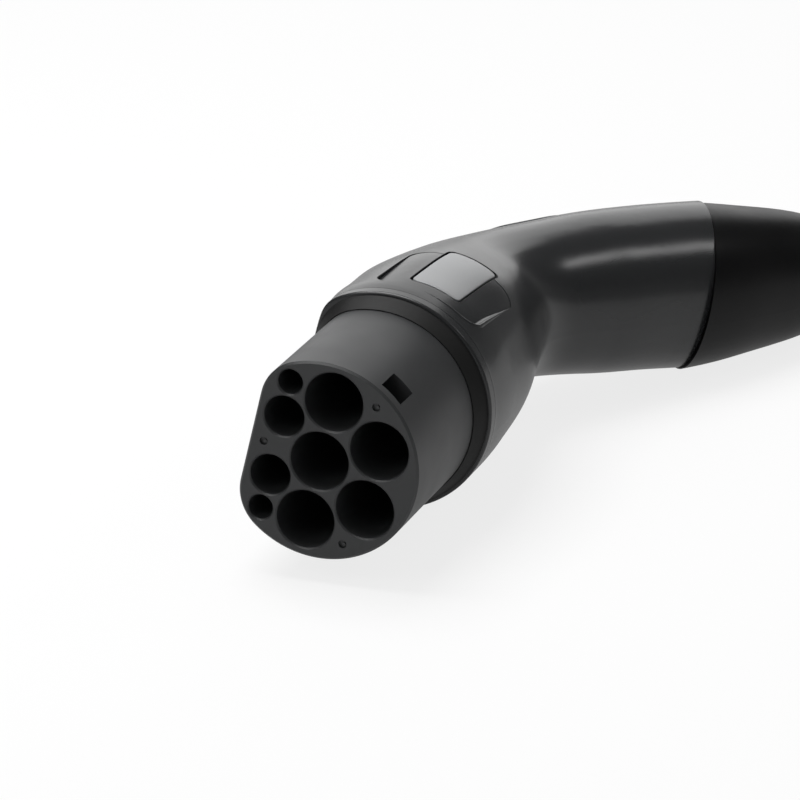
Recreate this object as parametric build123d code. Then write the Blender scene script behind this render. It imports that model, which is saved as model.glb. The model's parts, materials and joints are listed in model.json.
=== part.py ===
from build123d import *
import math

# Charging-station plug of a Type 2 EV lead, with male pins in deep cavities.
# It is modelled with its nose axis along +X and the origin in the middle of the mating face.
# +Y is the side that the handle leans to, away from the D flat of the nose, and +Z is the
# side with the label. At the end every piece is rolled about X into the pose it lies in.

# ---- driving dimensions, in millimetres and degrees ----
rest_roll = -13.6            # the plug lies rolled on its side by this much

nose_r, nose_flat, nose_corner = 27.8, 20.0, 13.0    # D-shaped nose, nominal 55.5 mm
nose_len = 58.0
cavity_depth = 40.0
pitch = 17.5                 # hexagonal pitch of the power contacts
power_cavity_r, signal_cavity_r = 8.18, 5.68
signal_y, signal_z = -12.28, 8.75
guide_y, guide_z, guide_r, guide_depth = -12.81, 18.76, 3.46, 25.0

lock_angle = 30.0            # lock window, measured from +Z towards +Y
lock_front, lock_len, lock_width, lock_floor = 3.4, 9.2, 7.2, 22.6
gate_spots = ((11.6, 20.5), (11.6, -20.5), (-16.1, 0.0))    # recessed moulding gates
gate_r, gate_depth = 1.15, 0.8
gate_pip_r, gate_pip_top, gate_pip_shift = 0.45, -0.35, 0.3
face_chamfer, mouth_chamfer = 0.6, 0.8

power_pin_r, signal_pin_r = 3.0, 1.5
power_shank_r, signal_shank_r = 3.4, 1.9    # thicker where the pins sit in the block
shank_proud = 0.3
power_tip_x, signal_tip_x = -22.0, -24.0    # pin tips stand back, out of reach of a finger
tip_len = 3.0
stud_r, stud_len = 1.4, 1.8     # the tip sits on this stud of the pin
collar_len = 3.5
power_collar_r, signal_collar_r = 5.0, 3.2
power_barrel_r, signal_barrel_r = 4.1, 2.2  # crimp barrels
power_barrel_end, signal_barrel_end = -66.0, -62.0
power_wire_r, signal_wire_r = 2.7, 1.2
power_wire_depth, signal_wire_depth = 10.0, 6.0
slip = 0.05                  # clearance of pieces that slide together
loose = 0.1                  # clearance of pieces that only pass each other

recess_wall = 2.6            # nose wall round the contact block
block_back, retainer_back = -50.0, -52.5
screw_r, screw_head_r, screw_head_h = 1.5, 2.6, 2.0
block_screw_ring = 21.8      # two screws at 30 degrees each side, the third near the flat
block_screw_end = -28.0
third_screw_y = -14.6

barrel_r, barrel_flat = 31.4, 23.2
ring_front, ring_back = -48.4, -51.9
ring_round = 0.7
ring_bore_r, ring_bore_flat, ring_bore_corner = 28.95, 21.15, 14.15
seal_front = -43.5
seal_front_rise, seal_back_rise = 0.3, 2.6  # height of the seal's slope over the nose
housing_front = -52.1
seat_inset = 1.35            # the flange seat is this far inside the barrel's outline
flange_back, gasket_back = -57.0, -58.6
wall = 3.4

bend_angle = 32.6            # handle axis against nose axis, towards +Y
bend_start, bend_radius = 112.7, 68.4
seam_at, seam_tilt = 211.8, 28.7    # slanted seam between housing and tail boot
seam_gap = 0.12
spigot_r, spigot_bore_r = 19.4, 17.0
web_front, web_back, spigot_end = 191.3, 195.0, 232.0
boot_step, boot_lip, tail_end = 233.0, 262.0, 266.0
boot_bore_r, grommet_r, outlet_r = 19.6, 12.0, 8.9
cable_r = 8.25

pad_skew = 2.0               # label recess turns with the handle, degrees in plan
pad_centre = (-74.0, 2.9)
pad_len, pad_width, pad_corner, pad_depth = 35.0, 32.0, 6.0, 1.2
plate_centre = (-80.2, 3.1)
plate_len, plate_width, plate_corner = 32.1, 15.0, 2.0
plate_gap, plate_thick = 0.45, 0.9

thumb_at, thumb_len, thumb_width, thumb_corner = 157.0, 38.0, 36.0, 9.0    # soft pad on the back
thumb_crown, thumb_sunk, thumb_gap = 0.5, 0.9, 0.1

clamp_front = 179.3
clamp_half_q, clamp_half_z, clamp_split = 15.2, 11.6, 0.8
clamp_bore_r, clamp_screw_q = 8.1, 11.4
collet_front, collet_flange = 213.0, 229.0
collet_r, collet_bore_r, collet_flange_r, collet_slot = 12.0, 8.8, 16.9, 1.6

# Stations of the moulded housing along its bent axis: distance behind the face, radius,
# distance of the flat (one further out than the radius has faded away) and how far the
# section stands off the axis towards the back of the bend.
stations = (
    (52.1, 31.4, 23.2, 0.0),
    (62.0, 31.4, 23.3, 0.0),
    (74.0, 30.8, 24.2, 0.0),
    (86.0, 29.9, 25.4, 0.0),
    (95.5, 28.6, 27.0, 0.0),
    (104.5, 27.0, 28.8, 0.3),
    (113.0, 25.4, 30.1, 0.5),
    (121.0, 23.9, 31.0, 0.5),
    (130.0, 22.8, 31.0, 0.4),
    (140.0, 22.3, 30.0, 0.5),
    (150.0, 22.5, 30.0, 0.8),
    (161.0, 23.2, 30.0, 1.3),
    (173.0, 24.0, 30.0, 1.4),
    (187.0, 24.4, 30.0, 1.3),
    (201.0, 24.7, 30.0, 0.7),
    (214.0, 24.8, 30.0, 0.0),
    (226.0, 24.5, 30.0, 0.0),
    (236.0, 24.2, 30.0, 0.0),
)
boot_outline = ((25.5, 190.0), (25.0, 206.0), (24.0, 219.0), (22.5, 231.0), (20.8, 244.0),
                (19.1, 254.0), (17.2, 260.5), (14.2, 264.8), (10.6, 266.0))

side_y = pitch * math.sin(math.radians(60))
power_places = {
    "l1": (0.0, -pitch),
    "l2": (side_y, -pitch / 2),
    "l3": (side_y, pitch / 2),
    "neutral": (0.0, pitch),
    "earth": (0.0, 0.0),
}
signal_places = {"pilot": (signal_y, -signal_z), "proximity": (signal_y, signal_z)}
block_screws_at = (
    (block_screw_ring * 0.5, block_screw_ring * math.cos(math.radians(30))),
    (block_screw_ring * 0.5, -block_screw_ring * math.cos(math.radians(30))),
    (third_screw_y, 0.0),
)


# ---- helpers ----
def across(x):
    """Plane square to the nose axis; local x runs along Y and local y along Z."""
    return Plane(origin=(x, 0, 0), x_dir=(0, 1, 0), z_dir=(1, 0, 0))


def axis_plane(t):
    """Plane square to the bent axis, t behind the mating face; local x points to +Y's side."""
    turn = min(max(t - bend_start, 0) / bend_radius, math.radians(bend_angle))
    before = min(t, bend_start)
    after = max(t - bend_start, 0) - bend_radius * turn
    x = -before - bend_radius * math.sin(turn) - after * math.cos(turn)
    y = bend_radius * (1 - math.cos(turn)) + after * math.sin(turn)
    across_dir = (math.sin(turn), math.cos(turn), 0)
    back_dir = (-math.cos(turn), math.sin(turn), 0)
    return Plane(origin=(x, y, 0), x_dir=across_dir, z_dir=back_dir)


def rod(x_back, x_front, radius, place=(0.0, 0.0)):
    """Round bar along the nose axis."""
    return extrude(across(x_back) * Pos(*place) * Circle(radius), amount=x_front - x_back)


def d_face(x, radius, flat, corner):
    """D outline of arcs and a line, square to the nose axis, flat towards -Y."""
    sheet = Circle(radius) - Pos(-flat - radius, 0) * Rectangle(2 * radius, 3 * radius)
    sheet = fillet(sheet.vertices().filter_by(lambda v: v.X < 0), corner)
    return across(x) * sheet


def d_bar(x_back, x_front, radius, flat, corner):
    return extrude(d_face(x_back, radius, flat, corner), amount=x_front - x_back)


def section(t, radius, flat, offset=0.0):
    """Soft D outline: a circle and a straight line, blended by a high power mean."""
    power, count = 20, 60
    points = []
    for i in range(count):
        a = 2 * math.pi * i / count
        reach = radius
        towards_flat = -math.cos(a)
        if towards_flat > 0.05:
            reach = (radius ** -power + (flat / towards_flat) ** -power) ** (-1 / power)
        points.append((reach * math.cos(a) - offset, reach * math.sin(a)))
    return axis_plane(t) * make_face(Wire([Spline(*points, periodic=True)]))


def soft_bar(x_back, x_front, inset):
    """Straight length of the barrel's own outline, moved inwards by inset."""
    return extrude(section(-x_back, barrel_r - inset, barrel_flat - inset), amount=x_back - x_front)


def housing_form(inset):
    """Outer form of the housing moved inwards by inset, a number or a function of t."""
    depth = inset if callable(inset) else lambda t: inset
    return loft([section(t, r - depth(t), f - depth(t), off) for t, r, f, off in stations])


def axial(*outline):
    """Turn a closed (r, t) outline about the handle axis; edges are made by the caller."""
    middle = axis_plane(seam_at)
    plane = Plane(origin=middle.origin, x_dir=middle.x_dir, z_dir=middle.x_dir.cross(middle.z_dir))
    sheet = plane * Pos(0, -seam_at) * make_face(outline)
    return revolve(sheet, Axis(middle.origin, middle.z_dir))


def axial_tube(t_front, t_back, outer, inner):
    return axial(Polyline((inner, t_front), (outer, t_front), (outer, t_back), (inner, t_back), close=True))


def revolved_pin(x_and_r, place):
    """Turned piece on a contact's axis, from (x, radius) steps."""
    points = [(x_and_r[0][0], 0.0), *x_and_r, (x_and_r[-1][0], 0.0)]
    sheet = make_face(Polyline(*points, close=True))
    return Pos(0, place[0], place[1]) * revolve(sheet, Axis.X)


def screw(origin, direction, length):
    """Pan-head screw: head at the origin, shank along the direction."""
    base = Plane(origin=origin, z_dir=direction)
    head = extrude(base * Circle(screw_head_r), amount=-screw_head_h)
    head = fillet(head.edges().group_by(lambda e: (e.center() - Vector(*origin)).dot(base.z_dir))[0], 0.8)
    socket = extrude(base.offset(-screw_head_h) * RegularPolygon(1.1, 6), amount=1.0)
    return head - socket + extrude(base * Circle(screw_r), amount=length)


def rolled(piece):
    """Bring a piece, or a group of like pieces, into the pose the plug lies in."""
    solids = [Rot(X=rest_roll) * solid for solid in piece.solids()]
    return solids[0] if len(solids) == 1 else Compound(solids)


# ---- nose ----
def nose_housing():
    body = d_bar(-nose_len, 0, nose_r, nose_flat, nose_corner)
    body = chamfer(body.faces().sort_by(Axis.X)[-1].edges(), face_chamfer)
    body += soft_bar(flange_back, ring_back, seat_inset + 3 * slip)
    cavities = [(place, power_cavity_r, cavity_depth) for place in power_places.values()]
    cavities += [(place, signal_cavity_r, cavity_depth) for place in signal_places.values()]
    cavities += [((guide_y, side * guide_z), guide_r, guide_depth) for side in (1, -1)]
    for place, radius, depth in cavities:
        body -= rod(-depth, 1, radius, place)
        body -= Pos(0, *place) * Rot(Y=90) * Cone(radius, radius + mouth_chamfer, mouth_chamfer)
    inner = recess_wall
    body -= d_bar(-nose_len - 1, -cavity_depth, nose_r - inner, nose_flat - inner, nose_corner - inner)
    window = Box(lock_len, lock_width, 12, align=(Align.MAX, Align.CENTER, Align.MIN))
    body -= Rot(X=-lock_angle) * Pos(-lock_front, 0, lock_floor) * window
    for spot in gate_spots:
        body -= rod(-gate_depth, 1, gate_r, spot)
        body += rod(-gate_depth, gate_pip_top, gate_pip_r, (spot[0] + gate_pip_shift, spot[1]))
    for spot in block_screws_at:
        body -= rod(block_screw_end - 1, block_screw_end + 1, screw_r, spot)
        body -= rod(-cavity_depth - 1, block_screw_end, screw_r, spot)
    return body


def block_outline(x_back, x_front):
    inset = recess_wall + slip
    return d_bar(x_back, x_front, nose_r - inset, nose_flat - inset, nose_corner - inset)


def contact_block():
    body = block_outline(block_back, -cavity_depth)
    for place in power_places.values():
        body -= rod(block_back - 1, -cavity_depth + 1, power_shank_r + slip, place)
        body -= rod(block_back - 1, block_back + collar_len, power_collar_r + slip, place)
    for place in signal_places.values():
        body -= rod(block_back - 1, -cavity_depth + 1, signal_shank_r + slip, place)
        body -= rod(block_back - 1, block_back + collar_len, signal_collar_r + slip, place)
    for spot in block_screws_at:
        body -= rod(block_back - 1, -cavity_depth + 1, screw_r + loose, spot)
    return body


def contact_retainer():
    body = block_outline(retainer_back, block_back)
    for place in power_places.values():
        body -= rod(retainer_back - 1, block_back + 1, power_barrel_r + loose, place)
    for place in signal_places.values():
        body -= rod(retainer_back - 1, block_back + 1, signal_barrel_r + loose, place)
    for spot in block_screws_at:
        body -= rod(retainer_back - 1, block_back + 1, screw_r + loose, spot)
    return body


def power_pin(place):
    front = power_tip_x - tip_len
    collar_front = block_back + collar_len
    shank_front = shank_proud - cavity_depth
    steps = [(front + stud_len, stud_r), (front, stud_r), (front, power_pin_r), (shank_front, power_pin_r),
             (shank_front, power_shank_r), (collar_front, power_shank_r),
             (collar_front, power_collar_r), (block_back, power_collar_r),
             (block_back, power_barrel_r), (power_barrel_end, power_barrel_r)]
    return revolved_pin(steps, place) - rod(power_barrel_end - 1, power_barrel_end + power_wire_depth,
                                            power_wire_r, place)


def pin_tip(place):
    """Insulating cap that keeps a finger off the live end of a power pin."""
    front = power_tip_x - tip_len
    cap = rod(front, power_tip_x, power_pin_r, place)
    cap = fillet(cap.faces().sort_by(Axis.X)[-1].edges(), 1.6)
    return cap - rod(front - 1, front + stud_len, stud_r, place)


def signal_pin(place):
    collar_front = block_back + collar_len
    shank_front = shank_proud - cavity_depth
    steps = [(signal_tip_x, 0.6), (signal_tip_x - 0.9, signal_pin_r), (shank_front, signal_pin_r),
             (shank_front, signal_shank_r), (collar_front, signal_shank_r),
             (collar_front, signal_collar_r), (block_back, signal_collar_r),
             (block_back, signal_barrel_r), (signal_barrel_end, signal_barrel_r)]
    return revolved_pin(steps, place) - rod(signal_barrel_end - 1, signal_barrel_end + signal_wire_depth,
                                            signal_wire_r, place)


def coding_resistor():
    """Resistor between the proximity and earth barrels that tells the lead's rating."""
    body_r, body_len, lead_r = 1.3, 5.4, 0.3
    run = Vector(0, signal_y, signal_z)
    start, length = power_barrel_r, run.length - power_barrel_r - signal_barrel_r
    base = Plane(origin=run.normalized() * start + Vector(retainer_back - body_r, 0, 0), z_dir=run)
    body = extrude(base.offset((length - body_len) / 2) * Circle(body_r), amount=body_len)
    body = fillet(body.edges().filter_by(GeomType.CIRCLE), 0.4)
    return body + extrude(base * Circle(lead_r), amount=length)


def nose_seal():
    """Lip seal: a slope from the nose up to the ring, with a foot under the ring."""
    def outline(x, rise):
        return d_face(x, nose_r + rise, nose_flat + rise, nose_corner + rise)
    slope = loft([outline(ring_front, seal_back_rise), outline(seal_front, seal_front_rise)])
    foot = d_bar(ring_back, ring_front, ring_bore_r - slip, ring_bore_flat - slip, ring_bore_corner - slip)
    return slope + foot - d_bar(ring_back - 1, seal_front + 1, nose_r, nose_flat, nose_corner)


def front_ring():
    ring = soft_bar(ring_back, ring_front, 0)
    ring = fillet(ring.faces().sort_by(Axis.X)[-1].edges(), ring_round)
    return ring - d_bar(ring_back - 1, ring_front + 1, ring_bore_r, ring_bore_flat, ring_bore_corner)


def housing_gasket():
    ring = soft_bar(gasket_back, flange_back, seat_inset + 3 * slip)
    return ring - d_bar(gasket_back - 1, flange_back + 1, nose_r + loose, nose_flat + loose, nose_corner + loose)


# ---- housing ----
def plan_block(centre, length, width, corner):
    """Upright block over the label side, turned in plan with the handle."""
    sheet = Pos(*centre) * Rot(Z=-pad_skew) * RectangleRounded(length, width, corner)
    return extrude(sheet, amount=40)


def pad_floor(t):
    """Depth of the label recess: full beside the ring, run out before the bend."""
    front, back = 57.0, 93.0
    return pad_depth * min(max((back - t) / (back - front), 0.0), 1.0)


def thumb_block(grow):
    """Block that stands out of the back of the bend and gives the thumb pad its outline."""
    back = axis_plane(thumb_at)
    outwards = Plane(origin=back.origin, x_dir=back.z_dir, z_dir=-back.x_dir)
    outline = RectangleRounded(thumb_len + 2 * grow, thumb_width + 2 * grow, thumb_corner)
    return extrude(outwards * outline, amount=40)


def thumb_crowned(t):
    """Inset of the thumb pad's face: proud in the middle, level with the housing at both ends."""
    along = (t - thumb_at) / (thumb_len / 2)
    return -thumb_crown * math.sqrt(max(1 - along ** 2, 0))


def seam_plane(shift):
    middle = axis_plane(seam_at)
    lean = math.radians(seam_tilt)
    normal = middle.z_dir * math.cos(lean) + middle.x_dir * math.sin(lean)
    return Plane(origin=middle.origin + normal * shift, z_dir=normal)


def main_housing():
    body = split(housing_form(0), bisect_by=seam_plane(0), keep=Keep.BOTTOM)
    body = body - housing_form(wall)
    body -= soft_bar(gasket_back, housing_front + 1, seat_inset)
    body -= plan_block(pad_centre, pad_len, pad_width, pad_corner) - housing_form(pad_floor)
    pocket = plan_block(plate_centre, plate_len + 2 * plate_gap, plate_width + 2 * plate_gap, plate_corner)
    body -= pocket - housing_form(lambda t: pad_floor(t) + plate_thick)
    body -= thumb_block(thumb_gap) - housing_form(thumb_sunk)
    web = axial_tube(web_front, web_back, spigot_r + 3.2, spigot_bore_r)
    return body + web + axial_tube(web_front, spigot_end, spigot_r, spigot_bore_r)


def label_plate():
    block = plan_block(plate_centre, plate_len, plate_width, plate_corner)
    return (block & housing_form(pad_floor)) - housing_form(lambda t: pad_floor(t) + plate_thick)


def thumb_pad():
    return (thumb_block(0) & housing_form(thumb_crowned)) - housing_form(thumb_sunk)


# ---- tail ----
def tail_boot():
    outside = Spline(*boot_outline)
    inside = Polyline(boot_outline[-1], (outlet_r, tail_end), (outlet_r, boot_lip), (grommet_r + slip, boot_lip),
                      (grommet_r + slip, boot_step), (boot_bore_r, boot_step),
                      (boot_bore_r, boot_outline[0][1]), boot_outline[0])
    return split(axial(outside, inside), bisect_by=seam_plane(seam_gap), keep=Keep.TOP)


def gland_collet():
    """Clamping cage: eight fingers on a flange that sits in the boot's step."""
    body = axial_tube(collet_front, boot_step, collet_r, collet_bore_r)
    body += axial_tube(collet_flange, boot_step, collet_flange_r, collet_bore_r)
    base = axis_plane(collet_front)
    for i in range(4):
        slot = base * Rot(Z=45 * i) * Box(2 * collet_r + 2, collet_slot, 2 * (collet_flange - collet_front - 2))
        body -= slot
    return body


def cable_grommet():
    return axial_tube(boot_step, boot_lip, grommet_r, cable_r)


def clamp_halves():
    """Two saddles that grip the lead in front of the spigot's web."""
    base = axis_plane(clamp_front)
    length = web_front - clamp_front
    size = (2 * clamp_half_q, 2 * clamp_half_z, length)
    whole = base * Box(*size, align=(Align.CENTER, Align.CENTER, Align.MIN))
    whole = fillet(whole.edges().filter_by(Axis(base.origin, base.z_dir)), 2.5)
    whole -= axial_tube(clamp_front - 1, web_front + 1, clamp_bore_r, 0)
    whole -= base * Box(50, 2 * clamp_split, 60)
    for side in (-1, 1):
        hole = base * Pos(side * clamp_screw_q, 0, length / 2) * Rot(X=90) * Cylinder(screw_r, 40)
        whole -= hole
    halves = whole.solids().sort_by(Axis.Z)
    return halves[0], halves[-1]


def clamp_screws():
    base = axis_plane(0.5 * (clamp_front + web_front))
    heads = [base.origin + base.x_dir * (side * clamp_screw_q) + Vector(0, 0, clamp_half_z) for side in (-1, 1)]
    return ShapeList([screw(tuple(head), (0, 0, -1), 2 * clamp_half_z - 2) for head in heads])


# ---- the plug, piece by piece ----
clamp_base, clamp_saddle = clamp_halves()
pieces = {
    "nose_housing": nose_housing(),
    "contact_block": contact_block(),
    "contact_retainer": contact_retainer(),
    "block_screws": ShapeList([screw((retainer_back, y, z), (1, 0, 0), block_screw_end - retainer_back)
                               for y, z in block_screws_at]),
    "coding_resistor": coding_resistor(),
    "nose_seal": nose_seal(),
    "front_ring": front_ring(),
    "housing_gasket": housing_gasket(),
    "main_housing": main_housing(),
    "label_plate": label_plate(),
    "thumb_pad": thumb_pad(),
    "tail_boot": tail_boot(),
    "gland_collet": gland_collet(),
    "cable_grommet": cable_grommet(),
    "clamp_base": clamp_base,
    "clamp_saddle": clamp_saddle,
    "clamp_screws": clamp_screws(),
}
for name, place in power_places.items():
    pieces[f"pin_{name}"] = power_pin(place)
    pieces[f"tip_{name}"] = pin_tip(place)
for name, place in signal_places.items():
    pieces[f"pin_{name}"] = signal_pin(place)

for name, piece in pieces.items():
    lying = rolled(piece)
    export_step(lying, f"parts/{name}.step")
    print(f"{name:18s} {len(lying.solids())} solid(s) {lying.volume / 1000:8.2f} cm3")
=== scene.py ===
import json
import math

import bmesh
import bpy
from mathutils import Matrix, Vector
from mathutils.bvhtree import BVHTree


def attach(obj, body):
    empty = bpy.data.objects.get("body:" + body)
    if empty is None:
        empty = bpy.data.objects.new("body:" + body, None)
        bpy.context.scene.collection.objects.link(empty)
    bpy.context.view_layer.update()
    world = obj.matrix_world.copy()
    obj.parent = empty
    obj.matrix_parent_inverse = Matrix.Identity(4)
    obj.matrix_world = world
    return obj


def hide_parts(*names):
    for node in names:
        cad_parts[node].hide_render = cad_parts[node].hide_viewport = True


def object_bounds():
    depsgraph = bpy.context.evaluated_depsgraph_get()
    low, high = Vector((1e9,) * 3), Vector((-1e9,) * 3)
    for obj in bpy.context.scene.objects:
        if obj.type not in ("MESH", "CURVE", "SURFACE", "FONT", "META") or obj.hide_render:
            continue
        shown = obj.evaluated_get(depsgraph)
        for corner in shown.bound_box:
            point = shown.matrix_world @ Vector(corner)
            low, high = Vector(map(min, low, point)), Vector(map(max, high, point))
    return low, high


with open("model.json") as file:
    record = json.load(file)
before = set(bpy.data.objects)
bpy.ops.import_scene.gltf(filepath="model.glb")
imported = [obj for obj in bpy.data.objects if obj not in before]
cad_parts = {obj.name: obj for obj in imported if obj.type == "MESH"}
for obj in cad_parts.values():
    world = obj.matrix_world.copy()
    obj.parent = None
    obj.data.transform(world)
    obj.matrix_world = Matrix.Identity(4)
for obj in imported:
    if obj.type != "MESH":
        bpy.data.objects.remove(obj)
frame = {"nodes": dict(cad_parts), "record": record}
cadLow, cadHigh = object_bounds()
nodes = frame["nodes"]
mm = 0.001
print("frame loaded:", len(nodes), "nodes")


# small tools

def hexColour(code):
    # sRGB hex to the linear values that the shaders want
    parts = [int(code[i:i + 2], 16) / 255 for i in (1, 3, 5)]
    linear = [c / 12.92 if c <= 0.04045 else ((c + 0.055) / 1.055) ** 2.4 for c in parts]
    return (*linear, 1.0)


def addNode(tree, kind, settings=None, inputs=None, links=None):
    # one shader node: its settings, its socket values and what feeds its sockets
    node = tree.nodes.new(kind)
    for name, value in (settings or {}).items():
        setattr(node, name, value)
    for name, value in (inputs or {}).items():
        node.inputs[name].default_value = value
    for name, source in (links or {}).items():
        tree.links.new(source, node.inputs[name])
    return node


def newMaterial(name):
    # an empty node material
    material = bpy.data.materials.new(name)
    material.use_nodes = True
    tree = material.node_tree
    tree.nodes.clear()
    return material, tree


colourA, colourB = 6, 7          # the mix node's two colour sockets, which share their names with others
noise = {
    "grain": {"Detail": 2.0, "Roughness": 0.6},
    "drift": {"Detail": 3.0, "Roughness": 0.55},
    "lines": {"Detail": 2.0},
}


def mouldedSurface(name, look):
    # a moulded skin: fine erosion grain in bump, slow drift in colour and gloss
    material, tree = newMaterial(name)
    place = addNode(tree, "ShaderNodeTexCoord")
    grain = addNode(tree, "ShaderNodeTexNoise",
                    inputs={"Scale": 1 / (look["grainMm"] * mm), **noise["grain"]},
                    links={"Vector": place.outputs["Object"]})
    drift = addNode(tree, "ShaderNodeTexNoise",
                    inputs={"Scale": 1 / (look["driftMm"] * mm), **noise["drift"]},
                    links={"Vector": place.outputs["Object"]})
    colour = addNode(tree, "ShaderNodeMix", {"data_type": "RGBA"},
                     {colourA: hexColour(look["dark"]), colourB: hexColour(look["light"])},
                     {0: drift.outputs["Fac"]})
    gloss = addNode(tree, "ShaderNodeMapRange",
                    inputs={"From Min": 0.3, "From Max": 0.7,
                            "To Min": look["roughness"] - look["roughnessDrift"],
                            "To Max": look["roughness"] + look["roughnessDrift"]},
                    links={"Value": drift.outputs["Fac"]})
    bump = addNode(tree, "ShaderNodeBump",
                   inputs={"Strength": look["grainStrength"], "Distance": look["grainDepthMm"] * mm},
                   links={"Height": grain.outputs["Fac"]})
    skin = addNode(tree, "ShaderNodeBsdfPrincipled", inputs={"IOR": look["ior"]},
                   links={"Base Color": colour.outputs[2], "Roughness": gloss.outputs[0],
                          "Normal": bump.outputs[0]})
    addNode(tree, "ShaderNodeOutputMaterial", links={"Surface": skin.outputs[0]})
    return material


def metalSurface(name, look):
    # a metal with fine lines; the stretch says which way they run, if any
    material, tree = newMaterial(name)
    place = addNode(tree, "ShaderNodeTexCoord")
    stretch = addNode(tree, "ShaderNodeMapping", inputs={"Scale": look["stretch"]},
                      links={"Vector": place.outputs["Object"]})
    lines = addNode(tree, "ShaderNodeTexNoise", inputs={"Scale": 1 / (look["lineMm"] * mm), **noise["lines"]},
                    links={"Vector": stretch.outputs[0]})
    colour = addNode(tree, "ShaderNodeMix", {"data_type": "RGBA"},
                     {colourA: hexColour(look["dark"]), colourB: hexColour(look["light"])},
                     {0: lines.outputs["Fac"]})
    gloss = addNode(tree, "ShaderNodeMapRange",
                    inputs={"From Min": 0.35, "From Max": 0.65,
                            "To Min": look["roughness"] - look["roughnessDrift"],
                            "To Max": look["roughness"] + look["roughnessDrift"]},
                    links={"Value": lines.outputs["Fac"]})
    bump = addNode(tree, "ShaderNodeBump",
                   inputs={"Strength": look["lineStrength"], "Distance": look["lineDepthMm"] * mm},
                   links={"Height": lines.outputs["Fac"]})
    skin = addNode(tree, "ShaderNodeBsdfPrincipled", inputs={"Metallic": look["metallic"]},
                   links={"Base Color": colour.outputs[2], "Roughness": gloss.outputs[0],
                          "Normal": bump.outputs[0]})
    addNode(tree, "ShaderNodeOutputMaterial", links={"Surface": skin.outputs[0]})
    return material


# finishes

polyamide = {  # glass-filled nylon: matt, a little dusty grey where light grazes it
    "dark": "#2c2d2e", "light": "#323334", "ior": 1.53, "roughness": 0.43, "roughnessDrift": 0.03,
    "grainMm": 0.45, "grainDepthMm": 0.02, "grainStrength": 0.35, "driftMm": 14.0,
}
satinAbs = {  # ABS blend from a polished tool: broad soft highlights with a clear edge
    "dark": "#232425", "light": "#262728", "ior": 1.54, "roughness": 0.24, "roughnessDrift": 0.02,
    "grainMm": 0.6, "grainDepthMm": 0.012, "grainStrength": 0.15, "driftMm": 25.0,
}
elastomer = {  # thermoplastic elastomer: deep black, and the low ior keeps its soft skin dull
    "dark": "#080809", "light": "#0b0b0c", "ior": 1.27, "roughness": 0.36, "roughnessDrift": 0.03,
    "grainMm": 0.5, "grainDepthMm": 0.015, "grainStrength": 0.25, "driftMm": 18.0,
}
silicone = {  # silicone rubber: the darkest and dullest of the blacks
    "dark": "#0e0e0e", "light": "#121212", "ior": 1.38, "roughness": 0.60, "roughnessDrift": 0.03,
    "grainMm": 0.4, "grainDepthMm": 0.02, "grainStrength": 0.3, "driftMm": 9.0,
}
insulator = {  # black insulator behind the face, hardly seen
    "dark": "#1c1d1e", "light": "#212223", "ior": 1.53, "roughness": 0.58, "roughnessDrift": 0.03,
    "grainMm": 0.45, "grainDepthMm": 0.02, "grainStrength": 0.3, "driftMm": 10.0,
}
lacquer = {  # baked lacquer on the resistor
    "dark": "#3f7d93", "light": "#4a8aa0", "ior": 1.5, "roughness": 0.3, "roughnessDrift": 0.02,
    "grainMm": 0.5, "grainDepthMm": 0.01, "grainStrength": 0.1, "driftMm": 3.0,
}
satinAluminium = {  # anodised plate, bead blasted: even silver grey with hardly any line
    "dark": "#a0a1a2", "light": "#a8a9aa", "metallic": 0.55, "roughness": 0.46, "roughnessDrift": 0.04,
    "lineMm": 0.5, "lineDepthMm": 0.02, "stretch": (1.0, 1.0, 1.0), "lineStrength": 0.2,
}
silverPlate = {  # silver on copper, turned: rings round the pin
    "dark": "#c2bfb8", "light": "#d6d3cc", "metallic": 1.0, "roughness": 0.26, "roughnessDrift": 0.04,
    "lineMm": 0.3, "lineDepthMm": 0.02, "stretch": (8.0, 0.4, 0.4), "lineStrength": 0.2,
}
zincSteel = {  # zinc-plated screws: cool grey, duller than the pins
    "dark": "#9fa3a6", "light": "#b4b8bb", "metallic": 1.0, "roughness": 0.34, "roughnessDrift": 0.04,
    "lineMm": 0.4, "lineDepthMm": 0.02, "stretch": (1.0, 1.0, 1.0), "lineStrength": 0.2,
}
finishes = {
    "nose_plastic": mouldedSurface("glass filled polyamide", polyamide),
    "ring_plastic": mouldedSurface("satin ABS ring", satinAbs),
    "housing_plastic": mouldedSurface("satin ABS", satinAbs),
    "boot_plastic": mouldedSurface("thermoplastic elastomer", elastomer),
    "seal_rubber": mouldedSurface("silicone rubber", silicone),
    "insulator_plastic": mouldedSurface("insulator polyamide", insulator),
    "tip_plastic": mouldedSurface("pin cap polyamide", insulator),
    "resistor_body": mouldedSurface("baked lacquer", lacquer),
    "label_metal": metalSurface("satin anodised aluminium", satinAluminium),
    "contact_metal": metalSurface("silver plated copper", silverPlate),
    "zinc_steel": metalSurface("zinc plated steel", zincSteel),
}


def dressNodes():
    # every CAD node takes the finish of its slot
    slotOf = {part["node"]: part["material_slot"] for part in frame["record"]["subparts"]}
    for name, node in nodes.items():
        node.data.materials.clear()
        node.data.materials.append(finishes[slotOf[name]])
    print("finishes on", len(slotOf), "nodes")


# label plate and recess rim, laid out in the plug's own frame, before it is rolled onto its side

restRollDeg = -13.6
plugToWorld = Matrix.Rotation(math.radians(restRollDeg), 4, "X")
worldToPlug = plugToWorld.inverted()


def addPiece(name, mesh, finish):
    # a finished mesh as an object at the origin
    piece = bpy.data.objects.new(name, mesh)
    bpy.context.scene.collection.objects.link(piece)
    mesh.materials.clear()
    mesh.materials.append(finish)
    return piece


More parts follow.
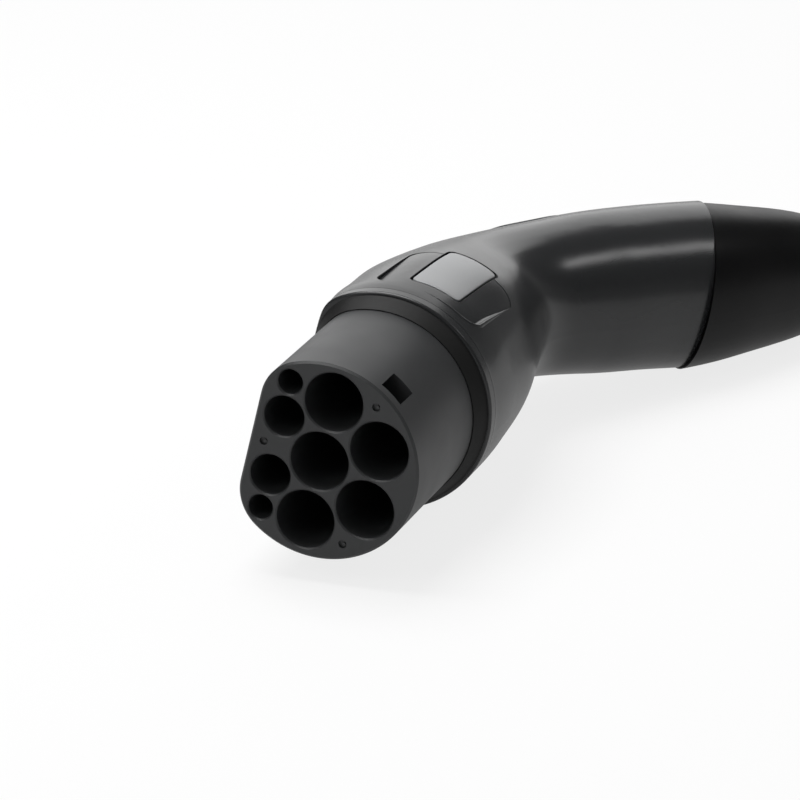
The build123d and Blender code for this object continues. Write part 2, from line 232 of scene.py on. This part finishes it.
label = {
    "centreMm": (-80.2, 3.1), "sizeMm": (32.1, 15.0), "turnDeg": -2.0,
    "shrinkMm": 0.32,            # leaves a wider dark line all round
    "edgeMm": 0.15,              # rounding of the plate's edge
    "edgeSegments": 3,
    "cornerDeg": 50,             # edges sharper than this are rounded
    "sharpDeg": 40,              # and those that are left sharper than this are shaded sharp
    "weldMm": 0.002,
}


def plugMesh(cad):
    # a copy of a CAD node's mesh in the plug's own frame; the node's own mesh is left alone
    body = bmesh.new()
    body.from_mesh(cad.data)
    bmesh.ops.transform(body, matrix=worldToPlug @ cad.matrix_world, verts=body.verts)
    return body


def makeLabel():
    # the plate with a slightly smaller outline and a broken edge
    body = plugMesh(nodes["label_plate"])
    bmesh.ops.remove_doubles(body, verts=body.verts, dist=label["weldMm"] * mm)
    centre = Vector((*label["centreMm"], 0)) * mm
    turn = Matrix.Rotation(math.radians(label["turnDeg"]), 4, "Z")
    length, width = label["sizeMm"]
    less = 2 * label["shrinkMm"]
    shrink = Matrix.Diagonal((1 - less / length, 1 - less / width, 1, 1))
    bmesh.ops.transform(body, matrix=Matrix.Translation(centre) @ turn @ shrink @ turn.inverted()
                        @ Matrix.Translation(-centre), verts=body.verts)
    outline = [edge for edge in body.edges
               if edge.is_manifold and edge.calc_face_angle() > math.radians(label["cornerDeg"])
               and sum(face.normal.z for face in edge.link_faces) > 0.5]    # the face side's edges
    bmesh.ops.bevel(body, geom=outline, offset=label["edgeMm"] * mm, offset_type="OFFSET", affect="EDGES",
                    segments=label["edgeSegments"], profile=0.5, material=-1, clamp_overlap=True)
    bmesh.ops.transform(body, matrix=plugToWorld, verts=body.verts)
    mesh = bpy.data.meshes.new("label face")
    for face in body.faces:
        face.smooth = True
    body.to_mesh(mesh)
    body.free()
    mesh.set_sharp_from_angle(angle=math.radians(label["sharpDeg"]))
    piece = addPiece("label_face", mesh, finishes["label_metal"])
    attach(piece, "root")
    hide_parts("label_plate")
    print("label face:", len(mesh.polygons), "faces")


rim = {
    "centreMm": (-74.0, 2.9), "sizeMm": (35.0, 32.0), "cornerMm": 6.0, "turnDeg": -2.0,
    "widthMm": 2.1, "endShare": 0.15,        # width of the slope at the corner, and its share at the faded ends
    "outsideShare": 0.25,                    # how much of the width lies outside the recess outline
    "riseMm": 0.34, "sinkMm": 0.03,          # height of the crest, and how far the whole slope is sunk
    "depthMm": 1.2, "deepAtMm": 57.0, "levelAtMm": 93.0,     # the recess floor, and where it has run out
    "frontRunMm": 13.0, "sideRunMm": 24.0,   # how far it runs on from the corner before it has faded
    "probeMm": 1.6, "probeFromM": 0.06,      # where the housing's skin is measured, beside the outline
    "stepMm": 0.4, "strips": 12,
}


def rimPath():
    # points of the recess outline round its near corner: place, outward direction, share of the full form
    halfLength, halfWidth = rim["sizeMm"][0] / 2, rim["sizeMm"][1] / 2
    corner = rim["cornerMm"]
    turn = Matrix.Rotation(math.radians(rim["turnDeg"]), 2)
    path = []
    cornerX, cornerY = halfLength - corner, halfWidth - corner
    count = round(rim["frontRunMm"] / rim["stepMm"])
    for i in range(count):
        path.append(((halfLength, cornerY - rim["frontRunMm"] * (1 - i / count)), (1, 0), i / count))
    count = round(corner * math.pi / 2 / rim["stepMm"])
    for i in range(count + 1):
        angle = math.pi / 2 * i / count
        out = (math.cos(angle), math.sin(angle))
        path.append(((cornerX + corner * out[0], cornerY + corner * out[1]), out, 1.0))
    count = round(rim["sideRunMm"] / rim["stepMm"])
    for i in range(1, count + 1):
        path.append(((cornerX - rim["sideRunMm"] * i / count, halfWidth), (0, 1), 1 - i / count))
    centre = Vector(rim["centreMm"])
    return [(centre + turn @ Vector(place), turn @ Vector(out), share) for place, out, share in path]


def rimHeight(inward, share, floorDepth):
    # how far the slope stands above the housing's skin; inward is 0 at the outline and 1 at the floor
    drop = 0.5 - 0.5 * math.cos(math.pi * max(inward, 0.0))
    crest = 0.0
    if abs(inward) < 0.5:
        crest = math.cos(math.pi * inward * (2.0 if inward < 0 else 1.0)) ** 2
    return crest * rim["riseMm"] * share - drop * floorDepth - rim["sinkMm"]


def makeRim():
    # a round slope down into the label recess, broadest at the corner
    body = plugMesh(nodes["main_housing"])
    skin = BVHTree.FromBMesh(body)
    body.free()
    ridge = bmesh.new()
    rows = []
    for place, out, share in rimPath():
        smoothShare = share * share * (3 - 2 * share)
        width = rim["widthMm"] * (rim["endShare"] + (1 - rim["endShare"]) * smoothShare)
        near = (place + out * rim["probeMm"]) * mm
        hit = skin.ray_cast(Vector((near.x, near.y, rim["probeFromM"])), Vector((0, 0, -1)))[0]
        radius = math.hypot(hit.y, hit.z)
        runOut = (rim["levelAtMm"] + place.x) / (rim["levelAtMm"] - rim["deepAtMm"])
        floorDepth = rim["depthMm"] * min(max(runOut, 0.0), 1.0)
        row = []
        for k in range(rim["strips"] + 1):
            inward = -rim["outsideShare"] + (1 + rim["outsideShare"]) * k / rim["strips"]
            spot = (place - out * inward * width) * mm
            height = math.sqrt((radius + rimHeight(inward, share, floorDepth) * mm) ** 2 - spot.y ** 2)
            row.append(ridge.verts.new((spot.x, spot.y, height)))
        rows.append(row)
    for first, second in zip(rows, rows[1:]):
        for k in range(rim["strips"]):
            ridge.faces.new((first[k], second[k], second[k + 1], first[k + 1]))
    bmesh.ops.recalc_face_normals(ridge, faces=ridge.faces)
    if sum(face.normal.z for face in ridge.faces) < 0:
        bmesh.ops.reverse_faces(ridge, faces=ridge.faces)
    for face in ridge.faces:
        face.smooth = True
    bmesh.ops.transform(ridge, matrix=plugToWorld, verts=ridge.verts)
    mesh = bpy.data.meshes.new("recess rim")
    ridge.to_mesh(mesh)
    ridge.free()
    piece = addPiece("recess_rim", mesh, finishes["housing_plastic"])
    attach(piece, "root")
    print("recess rim:", len(mesh.polygons), "faces")


# studio

studio = {
    "floorSize": 4.0,
    "cameraAt": (1.0319, 0.3969, 0.4276),
    "cameraAim": (-0.8813, -0.3196, -0.3480),
    "lensMm": 202.5,             # on the 36 mm sensor
    "lowSky": 0.16,              # what gloss sees down by the floor
    "highSky": 0.07,             # and overhead, between the lamps
    "skyFrom": 0.14,             # height on the unit sphere where one starts to turn into the other
    "skyTo": 0.26,
    "fill": 0.24,                # the world's share of the plain light
    "floorGloss": 0.50,          # how bright gloss sees the floor
    "floorGlow": 0.8,            # the rest is paint, which keeps the shadow
    "floorPaint": "#e8e8e8",
}
plainWhite = (1, 1, 1, 1)
lamps = {  # name: place, target, width, height, power in watts
    "overhead": ((-0.10, -0.25, 0.95), (-0.09, 0.0, 0.0), 0.70, 0.70, 10.0),
    "behind": ((-1.20, -0.36, 0.42), (-0.10, 0.02, 0.0), 1.05, 0.85, 3.3),
    "backRight": ((-0.62, 0.72, 0.72), (-0.14, 0.02, 0.0), 0.16, 0.20, 0.48),
    "front": ((0.9, -0.5, 0.9), (-0.05, 0.0, 0.0), 0.60, 0.60, 3.0),
}


def makeFloor():
    # a white floor that the camera sees plain, with a faint shadow
    mesh = bpy.data.meshes.new("floor")
    body = bmesh.new()
    bmesh.ops.create_grid(body, x_segments=1, y_segments=1, size=studio["floorSize"] / 2)
    bmesh.ops.translate(body, verts=body.verts, vec=(0, 0, cadLow.z))
    body.to_mesh(mesh)
    body.free()
    floor = bpy.data.objects.new("floor", mesh)
    bpy.context.scene.collection.objects.link(floor)
    material, tree = newMaterial("white sweep")
    path = addNode(tree, "ShaderNodeLightPath")
    direct = addNode(tree, "ShaderNodeMath", {"operation": "MAXIMUM"},
                     links={0: path.outputs["Is Camera Ray"], 1: path.outputs["Is Transmission Ray"]})
    seen = addNode(tree, "ShaderNodeMath", {"operation": "MAXIMUM"},
                   links={0: direct.outputs[0], 1: path.outputs["Is Glossy Ray"]})
    share = addNode(tree, "ShaderNodeMath", {"operation": "MULTIPLY"}, {1: studio["floorGlow"]},
                    {0: seen.outputs[0]})
    level = addNode(tree, "ShaderNodeMapRange", inputs={"To Min": studio["floorGloss"], "To Max": 1.0},
                    links={"Value": direct.outputs[0]})
    paint = addNode(tree, "ShaderNodeBsdfDiffuse", inputs={"Color": hexColour(studio["floorPaint"])})
    glow = addNode(tree, "ShaderNodeEmission", inputs={"Color": plainWhite},
                   links={"Strength": level.outputs[0]})
    mixed = addNode(tree, "ShaderNodeMixShader",
                    links={0: share.outputs[0], 1: paint.outputs[0], 2: glow.outputs[0]})
    addNode(tree, "ShaderNodeOutputMaterial", links={"Surface": mixed.outputs[0]})
    mesh.materials.append(material)


def makeWorld():
    # white for the camera, dim for plain light, darker towards the top for gloss
    world = bpy.data.worlds.new("studio")
    bpy.context.scene.world = world
    world.use_nodes = True
    tree = world.node_tree
    tree.nodes.clear()
    path = addNode(tree, "ShaderNodeLightPath")
    place = addNode(tree, "ShaderNodeTexCoord")
    height = addNode(tree, "ShaderNodeSeparateXYZ", links={0: place.outputs["Generated"]})
    sky = addNode(tree, "ShaderNodeMapRange", {"interpolation_type": "SMOOTHSTEP"},
                  inputs={"From Min": studio["skyFrom"], "From Max": studio["skyTo"],
                          "To Min": studio["lowSky"], "To Max": studio["highSky"]},
                  links={"Value": height.outputs["Z"]})
    plain = addNode(tree, "ShaderNodeBackground", inputs={"Color": plainWhite, "Strength": studio["fill"]})
    gloss = addNode(tree, "ShaderNodeBackground", inputs={"Color": plainWhite},
                    links={"Strength": sky.outputs[0]})
    white = addNode(tree, "ShaderNodeBackground", inputs={"Color": plainWhite, "Strength": 1.0})
    first = addNode(tree, "ShaderNodeMixShader",
                    links={0: path.outputs["Is Glossy Ray"], 1: plain.outputs[0], 2: gloss.outputs[0]})
    second = addNode(tree, "ShaderNodeMixShader",
                     links={0: path.outputs["Is Camera Ray"], 1: first.outputs[0], 2: white.outputs[0]})
    addNode(tree, "ShaderNodeOutputWorld", links={"Surface": second.outputs[0]})


def makeLamps():
    # plain area lamps, each aimed at a spot on the plug
    for name, (place, target, width, height, power) in lamps.items():
        light = bpy.data.lights.new(name, "AREA")
        light.shape = "RECTANGLE"
        light.size, light.size_y = width, height
        light.energy = power
        lamp = bpy.data.objects.new(name, light)
        lamp.location = place
        lamp.rotation_mode = "QUATERNION"
        lamp.rotation_quaternion = (Vector(target) - Vector(place)).to_track_quat("-Z", "Y")
        bpy.context.scene.collection.objects.link(lamp)
    print("lamps:", len(lamps))


def makeCamera():
    # a long lens, so that the plug shows little perspective
    data = bpy.data.cameras.new("camera")
    data.lens = studio["lensMm"]
    data.sensor_width = 36.0
    data.clip_start, data.clip_end = 0.05, 20.0
    camera = bpy.data.objects.new("camera", data)
    camera.location = studio["cameraAt"]
    camera.rotation_mode = "QUATERNION"
    camera.rotation_quaternion = Vector(studio["cameraAim"]).to_track_quat("-Z", "Y")
    bpy.context.scene.collection.objects.link(camera)
    bpy.context.scene.camera = camera
    bpy.context.scene.view_settings.view_transform = "Standard"
    print("camera at", tuple(camera.location))


dressNodes()
makeLabel()
makeRim()
makeFloor()
makeWorld()
makeLamps()
makeCamera()
